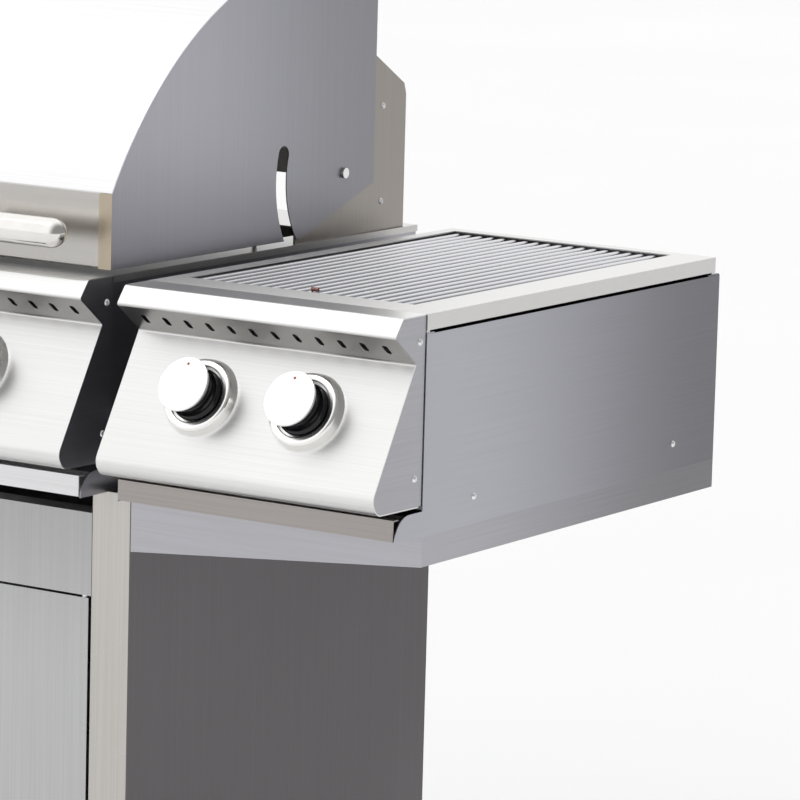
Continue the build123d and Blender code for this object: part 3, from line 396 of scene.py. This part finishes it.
for place in ("front_wheel", "rear_wheel"):
    for side in ("left", "right"):
        roll = joints[f"{place}_roll_{side}"]
        body = f"{place}_{side}"
        node = f"caster_wheel_{side}" if place == "front_wheel" else f"rear_wheel_{side}"
        tyre = made(f"{body}_tyre", rubber, turned(tyre_profile, roll["pos_m"], roll["axis"]), ring=True)
        hub = made(f"{body}_hub", hub_plastic, turned(hub_profile, roll["pos_m"], roll["axis"], 48), ring=True)
        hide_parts(node)
        for part in (tyre, hub):
            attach(part, body)

zinc, tree, shader = surface("zinc_plate", Metallic=1.0)
spangle = noise(tree, (160, 160, 160), 5.0)
tinted(tree, shader, spangle, (cloud_low, 0.52, 0.52, 0.50), (cloud_high, 0.66, 0.65, 0.60))
ranged(tree, shader, spangle, "Roughness", 0.28, 0.44)
dress(zinc, "caster_mounts", "caster_fork_left", "caster_fork_right")
brake_plastic = painted(
    "brake_plastic", 120, (0.020, 0.020, 0.022), (0.04, 0.04, 0.042), 1400, 0.0001, Roughness=0.4
)
dress(brake_plastic, "brake_lever_left", "brake_lever_right")

# ---------------------------------------------------------------- door handles and door pins
# Each door has a round bar on two posts, screwed through the sheet, and turns on
# steel pins at its outer corners.


def polished_steel(name, tint=(0.82, 0.82, 0.83), rough=(0.08, 0.15)):
    """Bright polished steel with a faint haze and light wear."""
    material, tree, shader = surface(name, Metallic=1.0)
    haze = noise(tree, (70, 70, 70), 5.0)
    tinted(tree, shader, haze, (cloud_low, *[c * 0.95 for c in tint]), (cloud_high, *tint))
    ranged(tree, shader, haze, "Roughness", *rough)
    relief(tree, shader, noise(tree, (500, 500, 500)), 0.00001)
    return material


bright = polished_steel("bright_bar")
door_bar_radius = 0.006
door_post_in = 0.025
door_face_in = 0.0032
for side in ("left", "right"):
    low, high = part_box(f"door_handle_{side}")
    middle = (low + high) / 2
    bar_y = low.y + door_bar_radius
    bar_length = high.z - low.z
    bar_profile = eased([(0, 0), (door_bar_radius, 0), (door_bar_radius, bar_length), (0, bar_length)], 0.0035)
    grids = [turned(bar_profile, (middle.x, bar_y, low.z), (0, 0, 1), 40)]
    face_y = high.y - door_face_in
    reach = face_y - bar_y
    post_corners = [(0, 0), (0.0085, 0), (0.0085, 0.003), (0.005, 0.006), (0.005, reach), (0, reach)]
    post_profile = eased(post_corners, 0.001)
    for z in (low.z + door_post_in, high.z - door_post_in):
        grids.append(turned(post_profile, (middle.x, face_y, z), (0, -1, 0), 40))
    handle = made(f"door_handle_{side}_bar", bright, *grids)
    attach(handle, f"door_{side}")
    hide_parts(f"door_handle_{side}")
dress(bright, "hinge_pins")

# ---------------------------------------------------------------- side shelves
# A tapered frame of folded sheet is bolted to each side of the cart. The left one
# carries a flat top, and the right one the side burner.
# The frames' colour darkens towards the back, a painted shade.
gusset_sheet = brushed_steel("gusset_sheet", (0.44, 0.435, 0.465), level, shade=("Y", -0.23, 0.30, 0.50))
shelf_sheet = brushed_steel("shelf_sheet", (0.62, 0.62, 0.62), lengthwise)
dress(gusset_sheet, "shelf_frames")
dress(shelf_sheet, "left_shelf_top")

# ---------------------------------------------------------------- grill head
# The head is a box of sheet with a rim round the cooking opening. The tub inside
# is darkened by heat, and so are the tents and tube burners.
head_sheet = brushed_steel("head_sheet", (0.42, 0.42, 0.45), level)
rim_sheet = brushed_steel("rim_sheet", (0.62, 0.61, 0.60), lengthwise)
dress(head_sheet, "grill_head_box")
dress(rim_sheet, "head_rim")


def heated_steel(name, cool, hot):
    """Steel that heat has coloured: straw and brown clouds over the metal."""
    material, tree, shader = surface(name, Metallic=0.9)
    stain = noise(tree, (14, 14, 14), 6.0)
    tinted(tree, shader, stain, (0.35, *cool), (0.66, *hot))
    ranged(tree, shader, stain, "Roughness", 0.34, 0.58)
    relief(tree, shader, noise(tree, (300, 300, 300), 5.0), 0.0002)
    return material


tub_steel = heated_steel("tub_steel", (0.34, 0.34, 0.35), (0.24, 0.20, 0.16))
tent_steel = heated_steel("tent_steel", (0.46, 0.45, 0.44), (0.34, 0.26, 0.19))
dress(tub_steel, "fire_tub")
dress(tent_steel, "heat_tents", "tube_burners")

# The cooking grates are three welded grids of round bars, and the warming rack is
# a lighter one of wire.
bar_radius = 0.004
bar_pitch = 0.017
grate_count = 3
grate_gap = 0.001
foot_in = 0.018
rod_steel = heated_steel("grate_rods", (0.44, 0.44, 0.45), (0.30, 0.27, 0.24))
low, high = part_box("cooking_grates")
bar_z = high.z - bar_radius
under_z = low.z + bar_radius
share = (high.x - low.x - grate_gap * (grate_count - 1)) / grate_count


def round_bar(start, axis, length, radius, around=20):
    """A round bar with softened ends."""
    profile = eased([(0, 0), (radius, 0), (radius, length), (0, length)], radius * 0.35, 4)
    return turned(profile, start, axis, around)


for number in range(grate_count):
    left = low.x + number * (share + grate_gap)
    steps = int((share - 2 * bar_radius) / bar_pitch)
    xs = np.linspace(left + bar_radius, left + share - bar_radius, steps + 1)
    bars = [round_bar((x, low.y, bar_z), (0, 1, 0), high.y - low.y, bar_radius) for x in xs]
    for y in (low.y + foot_in, (low.y + high.y) / 2, high.y - foot_in):
        bars.append(round_bar((left, y, under_z), (1, 0, 0), share, bar_radius))
    grate = made(f"cooking_grate_{number + 1}", rod_steel, *bars)
    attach(grate, "cart")
    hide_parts("cooking_grates")
rack_wire = polished_steel("rack_wire", (0.62, 0.62, 0.62), (0.2, 0.3))
dress(rack_wire, "warming_rack")

# ---------------------------------------------------------------- control panels
# Each panel is one bent sheet with a row of slots in its slanting strip. Flat
# plates close its ends, held by two screws each.
panel_sheet = brushed_steel("panel_sheet", (0.765, 0.765, 0.757), lengthwise, (0.24, 0.34), 0.035)
cap_sheet = brushed_steel("cap_sheet", (0.44, 0.44, 0.47), level, (0.3, 0.42))
rim_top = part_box("head_rim")[1].z
# The slanting strip, between these two drops below the rim, gets a darker colour: a painted shade where it
# faces down.
strip_top_drop = 0.0185
strip_foot_drop = 0.0470
banded(panel_sheet, "Z", rim_top - strip_foot_drop, rim_top - strip_top_drop, (0.44, 0.43, 0.42))
dress(panel_sheet, "main_control_panel", "side_control_panel")
dress(cap_sheet, "panel_end_caps")

# Screws: dome heads with a cross recess, in every end plate, bracket and box side.


def solids_of(node):
    """The points of each separate solid in a CAD node: points at one place share a number, and the lowest
    number spreads over each face until nothing changes."""
    mesh = nodes[node].data
    points = np.empty(len(mesh.vertices) * 3, np.float32)
    mesh.vertices.foreach_get("co", points)
    points = points.reshape(-1, 3)
    mesh.calc_loop_triangles()
    faces = np.empty(len(mesh.loop_triangles) * 3, np.int32)
    mesh.loop_triangles.foreach_get("vertices", faces)
    _, same = np.unique(np.round(points, 6), axis=0, return_inverse=True)
    faces = same.reshape(-1)[faces].reshape(-1, 3)
    label = np.arange(same.max() + 1)
    while True:
        lowest = label[faces].min(axis=1)
        before = label.copy()
        np.minimum.at(label, faces, lowest[:, None])
        label = label[label]
        if (label == before).all():
            break
    kind = label[same.reshape(-1)]
    return [points[kind == k] for k in np.unique(kind)]


recess_depth = 0.0008
recess_arm = 0.09
recess_slope = 1.6
recess_reach = 0.62
recess_end = 0.12
shank_radius = 0.003


def cross_head(seat, side, radius=0.0036, height=0.0018, rings=14, around=48):
    """A dome h = H (1 - (r/R)^4) on a disc, sunk by a smooth cross where x or y is near 0, and a flat back."""
    r = np.linspace(0, 1, rings)[:, None]
    t = np.linspace(0, 2 * pi, around, endpoint=False)[None, :]
    x, y = r * np.cos(t), r * np.sin(t)
    arm = np.minimum(np.abs(x), np.abs(y))
    sunk = np.clip(recess_slope - arm / recess_arm, 0, 1) * np.clip((recess_reach - r) / recess_end, 0, 1)
    rise = height * (1 - r**4) - recess_depth * sunk
    top = np.stack([seat[0] + side * rise, seat[1] + radius * x, seat[2] + radius * y], axis=-1)
    back = np.repeat(np.array([[seat]], float), around, axis=1)
    return np.concatenate([top, back], axis=0)


screw_steel = polished_steel("screw_steel", (0.95, 0.95, 0.96), (0.30, 0.40))
heads = []
for points in solids_of("screws"):
    centre = (points.min(axis=0) + points.max(axis=0)) / 2
    from_axis = np.hypot(points[:, 1] - centre[1], points[:, 2] - centre[2])
    wide = points[from_axis > shank_radius, 0]
    outward = 1.0 if wide.mean() > centre[0] else -1.0
    seat_x = wide.min() if outward > 0 else wide.max()
    heads.append(cross_head((seat_x, centre[1], centre[2]), outward))
screws = made("screw_heads", screw_steel, *heads)
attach(screws, "cart")
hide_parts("screws")

# ---------------------------------------------------------------- knobs
# A glossy black moulding with a spun metal cap pressed on top. It stands in a
# polished ring and has a small red mark near the edge of its cap.
skirt_radius = 0.0273
waist_radius = 0.0235
knob_foot = 0.006
cap_radius = 0.0284
cap_low = 0.0340
cap_top = 0.0375
mark_radius = 0.0016
mark_out = 0.0206
ring_inner = 0.0296
ring_rim = 0.0370
ring_outer = 0.0408
ring_height = 0.0108

knob_gloss = painted(
    "knob_gloss", 80, (0.004, 0.004, 0.005), (0.008, 0.008, 0.010), 240, 0.00002,
    Roughness=0.08, Specular_IOR_Level=0.25, Coat_Weight=0.25, Coat_Roughness=0.04,
)
spun_cap = polished_steel("spun_cap", (0.93, 0.93, 0.94), (0.2, 0.28))
ring_chrome = polished_steel("ring_chrome", (0.95, 0.94, 0.92), (0.16, 0.24))
mark_enamel = painted("mark_enamel", 900, (0.30, 0.04, 0.03), (0.42, 0.07, 0.05), Roughness=0.25)

moulding = eased(
    [(0, knob_foot), (skirt_radius, knob_foot), (skirt_radius, knob_foot + 0.003),
     (waist_radius + 0.0010, knob_foot + 0.0060), (waist_radius, 0.020), (cap_radius - 0.0012, cap_low),
     (0, cap_low)],
    [0, 0.0008, 0.0014, 0.005, 0.008, 0.0005, 0],
)
cap_profile = eased(
    [(0, cap_low), (cap_radius - 0.0006, cap_low), (cap_radius, cap_low + 0.001),
     (cap_radius, cap_top - 0.0008), (cap_radius - 0.006, cap_top), (0, cap_top)],
    [0, 0.0008, 0.002, 0.0026, 0.004, 0],
    8,
)
mark_foot = cap_top - 0.0004
mark_corners = [(0, mark_foot), (mark_radius, mark_foot), (mark_radius, cap_top), (0, cap_top)]
mark_profile = eased(mark_corners, 0.0003, 4)
ring_profile = eased(
    [(ring_inner, 0.0), (ring_outer, 0.0), (ring_rim, ring_height), (ring_inner, ring_height)],
    [0.0003, 0.0006, 0.0042, 0.0018], 8, closed=True,
)
knob_count = sum(name.startswith("knob_turn_") for name in joints)
rings = []
for number in range(1, knob_count + 1):
    turn = joints[f"knob_turn_{number}"]
    axis = np.array(turn["axis"]) / np.linalg.norm(turn["axis"])
    seat = np.array(turn["pos_m"])
    upward = np.cross(np.array((1.0, 0.0, 0.0)), axis)
    upward *= np.sign(upward[2])
    body = made(f"knob_{number}_moulding", knob_gloss, turned(moulding, seat, axis, 96))
    cap = made(f"knob_{number}_cap", spun_cap, turned(cap_profile, seat, axis, 96))
    mark = made(f"knob_{number}_mark", mark_enamel, turned(mark_profile, seat + mark_out * upward, axis, 24))
    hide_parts(f"knob_{number}")
    for part, slot in ((body, "knob_black"), (cap, "polished"), (mark, "knob_black")):
        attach(part, f"knob_{number}")
    rings.append(turned(ring_profile, seat, axis, 112))
bezels = made("knob_rings", ring_chrome, *rings, ring=True)
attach(bezels, "cart")
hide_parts("knob_bezels")

# ---------------------------------------------------------------- valves and gas pipes
# Cast brass valves sit behind the knobs, on a painted steel rail that a bent pipe
# carries on to the side burner.
cast_brass, tree, shader = surface("cast_brass", Metallic=1.0)
casting = noise(tree, (220, 220, 220), 5.0)
tinted(tree, shader, casting, (cloud_low, 0.52, 0.37, 0.16), (cloud_high, 0.68, 0.51, 0.25))
ranged(tree, shader, casting, "Roughness", 0.32, 0.5)
relief(tree, shader, casting, 0.0003)
pipe_paint = painted(
    "pipe_paint", 120, (0.09, 0.09, 0.095), (0.14, 0.14, 0.145), 700, 0.0001, Roughness=0.45
)
stem_steel = polished_steel("stem_steel", (0.60, 0.60, 0.60), (0.22, 0.32))
dress(cast_brass, "gas_valves")
dress(pipe_paint, "gas_manifold")
dress(stem_steel, *[f"valve_stem_{number}" for number in range(1, knob_count + 1)])

# ---------------------------------------------------------------- hood
# One sheet rolled over the top, with an upright band in front, is welded between two
# flat cheeks, which wrap the band's ends. The band and the wrapped edges have a warmer,
# darker colour painted on, a painted reflection of their surroundings.
arc_radius = 0.4451
band_height = 0.0816
back_foot = 0.055
back_step = 0.212
back_in = 0.0085
skin = 0.0012
seam = 0.0011
foot_fold = 0.0145
foot_ease = 0.002
band_step = 0.0008
below_band = 0.1
wrap_front = 0.001
wrap_depth = 0.0007
low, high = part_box("hood_shell")
hood_sheet = brushed_steel("hood_sheet", (0.83, 0.83, 0.835), lengthwise, (0.24, 0.34), 0.03)
# The cheeks' colour darkens towards the back, a painted shade.
cheek_shade = ("Y", -0.15, 0.24, 0.66)
cheek_tint = (0.475, 0.475, 0.515)
cheek_sheet = brushed_steel("cheek_sheet", cheek_tint, upright, (0.32, 0.40), 0.03, shade=cheek_shade)
band_z = rim_top + band_height
# The band's warmer, darker colour is a painted reflection.
banded(hood_sheet, "Z", rim_top - below_band, band_z, (0.62, 0.60, 0.57))
centre_z = high.z - arc_radius
centre_y = low.y + sqrt(arc_radius**2 - (band_z - centre_z) ** 2)
start = np.arctan2(band_z + seam - centre_z, low.y - centre_y)
end = np.arctan2(sqrt(arc_radius**2 - (high.y - centre_y) ** 2), high.y - centre_y)
bend = np.linspace(start % (2 * pi), end, 90)
roll_y = centre_y + arc_radius * np.cos(bend)
roll_z = centre_z + arc_radius * np.sin(bend)
foot = [(low.y + foot_fold, low.z), (low.y + foot_ease, low.z), (low.y, low.z + foot_ease)]
step = [(low.y, band_z - seam), (low.y + band_step, band_z - seam), (low.y + band_step, band_z + seam)]
section = np.concatenate([foot, step, np.stack([roll_y, roll_z], axis=-1), [(high.y, rim_top + back_step)]])


def bent_sheet(section, x0, x1, thick):
    """A bent sheet: its section (y, z) and the same line moved inwards by the wall, carried from x0 to x1.
    The inner point is p + w n, where n is the section's direction turned a quarter. Each end is closed by a
    row of the points halfway between the two lines."""
    outer = np.array(section)
    heading = np.gradient(outer, axis=0)
    heading /= np.linalg.norm(heading, axis=1)[:, None]
    inner = outer + thick * np.stack([heading[:, 1], -heading[:, 0]], axis=-1)
    loop = np.concatenate([outer, inner[::-1]])
    halfway = (loop + loop[::-1]) / 2
    rows = [(x0, halfway), (x0, loop), ((x0 + x1) / 2, loop), (x1, loop), (x1, halfway)]
    return np.stack([np.column_stack([np.full(len(loop), x), line]) for x, line in rows])


back_low = [(high.y, rim_top + back_step), (high.y, rim_top + back_foot)]
narrow = high.x - back_in
hood_grids = [bent_sheet(section, low.x, high.x, skin), bent_sheet(back_low, -narrow, narrow, skin)]
hood = made("hood_skin", hood_sheet, *hood_grids)
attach(hood, "hood")
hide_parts("hood_shell")
cheek_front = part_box("hood_side_right")[0].y
# The cheeks' wrapped front edges get a beige colour, a painted reflection.
banded(cheek_sheet, "Y", cheek_front - wrap_front, cheek_front + wrap_depth, (1.0, 0.86, 0.62), 0.0003)
dress(cheek_sheet, "hood_side_left", "hood_side_right")
bracket_sheet = brushed_steel("bracket_sheet", (0.36, 0.335, 0.31), upright)
dress(bracket_sheet, "hood_brackets")

# The handle is a thick polished tube with domed ends on two round posts.
low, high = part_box("hood_handle")
tube_radius = (high.z - low.z) / 2
tube_y = low.y + tube_radius
tube_z = (low.z + high.z) / 2
post_in = 0.1285
dome = np.linspace(0, pi / 2, 14)
dome_reach = tube_radius * 1.15
left_dome = np.stack([tube_radius * np.sin(dome), dome_reach * (1 - np.cos(dome))], axis=-1)
right_dome = np.stack([left_dome[::-1, 0], (high.x - low.x) - left_dome[::-1, 1]], axis=-1)
handle_profile = np.concatenate([left_dome, right_dome])
handle_steel = polished_steel("handle_steel", (0.84, 0.82, 0.79), (0.09, 0.15))
reach = high.y - tube_y
post_corners = [(0, 0), (0.0135, 0), (0.0135, 0.003), (0.009, 0.006), (0.009, reach), (0, reach)]
post_profile = eased(post_corners, [0, 0.001, 0.0012, 0.004, 0, 0])
grids = [turned(handle_profile, (low.x, tube_y, tube_z), (1, 0, 0), 72)]
for x in (low.x + post_in, high.x - post_in):
    grids.append(turned(post_profile, (x, high.y, tube_z), (0, -1, 0), 48))
handle = made("hood_handle_bar", handle_steel, *grids)
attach(handle, "hood")
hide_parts("hood_handle")

# The thermometer has a polished rim, a pale dial with ticks and a red needle.
dial_axis = np.array((0.0, -0.7077, 0.7066))
dial_radius = 0.038
face_radius = dial_radius - 0.002
tick_rise = 0.0081
tick_out = 0.031
needle_rise = 0.0088
needle_angle = radians(-40)
dial_up = np.array((0.0, 0.7066, 0.7077))
dial_seat = np.array((0.0, centre_y, centre_z)) + arc_radius * dial_axis
rim_profile = eased(
    [(dial_radius - 0.0045, 0.0035), (dial_radius, 0.0015), (dial_radius, 0.010),
     (dial_radius - 0.003, 0.0112), (dial_radius - 0.0045, 0.009)],
    0.0012, closed=True,
)
face_profile = eased([(0, 0.0035), (face_radius, 0.0035), (face_radius, 0.0080), (0, 0.0080)], 0.0004)
needle_profile = [(0, 0.0085), (0.0028, 0.0085), (0.0028, 0.0095), (0, 0.0098)]
dial_rim = made("dial_rim", ring_chrome, turned(rim_profile, dial_seat, dial_axis, 96), ring=True)
dial_paint = painted(
    "dial_paint", 60, (0.74, 0.73, 0.69), (0.80, 0.79, 0.75), Roughness=0.35, Coat_Weight=0.4
)
dial_face = made("dial_face", dial_paint, turned(face_profile, dial_seat, dial_axis, 96))
tick_paint = painted("tick_paint", 900, (0.02, 0.02, 0.02), (0.04, 0.04, 0.04), Roughness=0.4)
marks = []
dial_side = np.cross(dial_up, dial_axis)
for k, angle in enumerate(np.radians(np.linspace(-135, 135, 28))):
    out = sin(angle) * dial_side + cos(angle) * dial_up
    long = 0.0055 if k % 3 == 0 else 0.003
    start = dial_seat + tick_rise * dial_axis + (tick_out - long) * out
    marks.append(turned([(0, 0), (0.0004, 0), (0.0004, long), (0, long)], start, out, 6))
ticks = made("dial_ticks", tick_paint, *marks)
pointing = sin(needle_angle) * dial_side + cos(needle_angle) * dial_up
bar_profile = [(0, -0.006), (0.0009, -0.006), (0.0009, 0.010), (0.0003, 0.025), (0, 0.025)]
needle_bar = turned(bar_profile, dial_seat + needle_rise * dial_axis, pointing, 8)
needle = made("dial_needle", mark_enamel, needle_bar, turned(needle_profile, dial_seat, dial_axis, 32))
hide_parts("hood_thermometer")
for part in (dial_rim, dial_face, ticks, needle):
    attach(part, "hood")

# ---------------------------------------------------------------- side burner
# A box of sheet under a bent top frame. The frame is open over a deep bowl with
# two burner heads, and a grid of round bars lies in the opening.
# The box's colour darkens towards the back, a painted shade.
box_shade = ("Y", -0.20, 0.34, 0.42)
box_sheet = brushed_steel("box_sheet", (0.47, 0.47, 0.515), level, (0.32, 0.40), 0.03, shade=box_shade)
frame_sheet = brushed_steel("frame_sheet", (0.78, 0.775, 0.765), lengthwise, (0.46, 0.54), 0.03)
bowl_steel = heated_steel("bowl_steel", (0.12, 0.12, 0.125), (0.08, 0.07, 0.06))
dress(box_sheet, "side_burner_box")
dress(frame_sheet, "side_burner_frame")
dress(bowl_steel, "side_burner_bowl")
dress(cast_brass, "side_burner_heads")
side_bar_radius = 0.0035
side_bar_count = 19
side_bar_in = 0.0055
cross_bar_in = 0.009
low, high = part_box("side_burner_grate")
top_z = high.z - side_bar_radius
under_z = low.z + side_bar_radius
xs = np.linspace(low.x + side_bar_in, high.x - side_bar_in, side_bar_count)
bars = [round_bar((x, low.y, top_z), (0, 1, 0), high.y - low.y, side_bar_radius, 24) for x in xs]
for y in (low.y + cross_bar_in, (low.y + high.y) / 2, high.y - cross_bar_in):
    bars.append(round_bar((low.x, y, under_z), (1, 0, 0), high.x - low.x, side_bar_radius))
side_rods = polished_steel("side_rods", (0.66, 0.66, 0.69), (0.20, 0.28))
side_grate = made("side_grate_rods", side_rods, *bars)
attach(side_grate, "cart")
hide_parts("side_burner_grate")

# The spark electrode stands between the rods at the front: a stalk with a glazed
# red-brown sleeve across its top, and a short wire out of the sleeve's end.
tip_right = 0.0085
tip_in = 0.0150
sleeve_radius = 0.0021
sleeve_length = 0.009
sleeve_gap = 0.0004
stalk_in = 0.001
stalk_drop = 0.012
stalk_radius = 0.00112
wire_radius = 0.0008
wire_length = 0.005
wire_in = 0.001
glaze = painted(
    "glaze", 600, (0.16, 0.045, 0.035), (0.26, 0.085, 0.06), 1800, 0.00005, Roughness=0.12, Coat_Weight=0.7
)
sleeve_x = (low.x + high.x - sleeve_length) / 2 + tip_right
sleeve_start = Vector((sleeve_x, low.y + tip_in, high.z + sleeve_gap + sleeve_radius))
sleeve = round_bar(sleeve_start, (1, 0, 0), sleeve_length, sleeve_radius, 24)
wire_start = sleeve_start + Vector((sleeve_length - wire_in, 0, 0))
wire = round_bar(wire_start, (1, 0, 0), wire_length, wire_radius, 12)
stalk_foot = Vector((sleeve_start.x + stalk_in, sleeve_start.y, low.z - stalk_drop))
stalk = round_bar(stalk_foot, (0, 0, 1), sleeve_start.z - stalk_foot.z, stalk_radius, 12)
electrode = made("spark_electrode", glaze, sleeve, stalk)
electrode_wire = made("spark_wire", side_rods, wire)
for part in (electrode, electrode_wire):
    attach(part, "cart")

# ---------------------------------------------------------------- drip trays
# Two shallow trays of sheet slide out at the front by their tall folded lips.
tray_sheet = brushed_steel("tray_sheet", (0.72, 0.72, 0.73), lengthwise, (0.28, 0.4))
# The side tray's sheet is a darker copy of the main tray's, a painted shade.
side_tray_painted_shade = brushed_steel("side_tray_painted_shade", (0.36, 0.335, 0.32), lengthwise, (0.28, 0.4))
dress(tray_sheet, "main_drip_tray")
dress(side_tray_painted_shade, "side_drip_tray")
